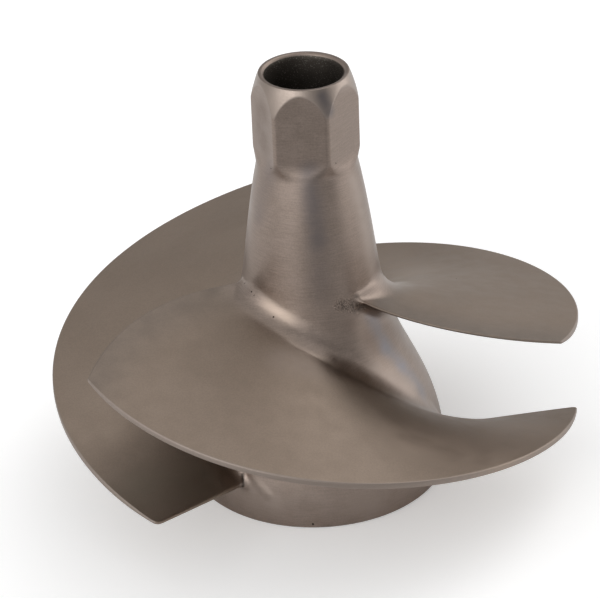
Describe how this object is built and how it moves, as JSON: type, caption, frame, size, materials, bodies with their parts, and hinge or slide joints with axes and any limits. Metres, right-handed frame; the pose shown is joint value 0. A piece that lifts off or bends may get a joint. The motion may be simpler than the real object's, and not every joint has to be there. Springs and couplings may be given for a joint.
{
  "type": "pump impeller",
  "caption": "Axial-flow pump impeller in cast stainless steel: helical blades on a bell-shaped hub, with a hexagonal nose, a bored and splined centre and a hollow aft end.",
  "frame": {"origin": "on the shaft axis, in the plane of the aft rim", "axes": "+Z along the shaft axis, from the aft rim towards the hexagonal nose"},
  "size_m": [0.155, 0.155, 0.129],
  "materials": {
    "cast_steel": "satin, blasted casting with turned nose"
  },
  "bodies": {
    "root": {"impeller": "cast_steel"}
  },
  "joints": []
}
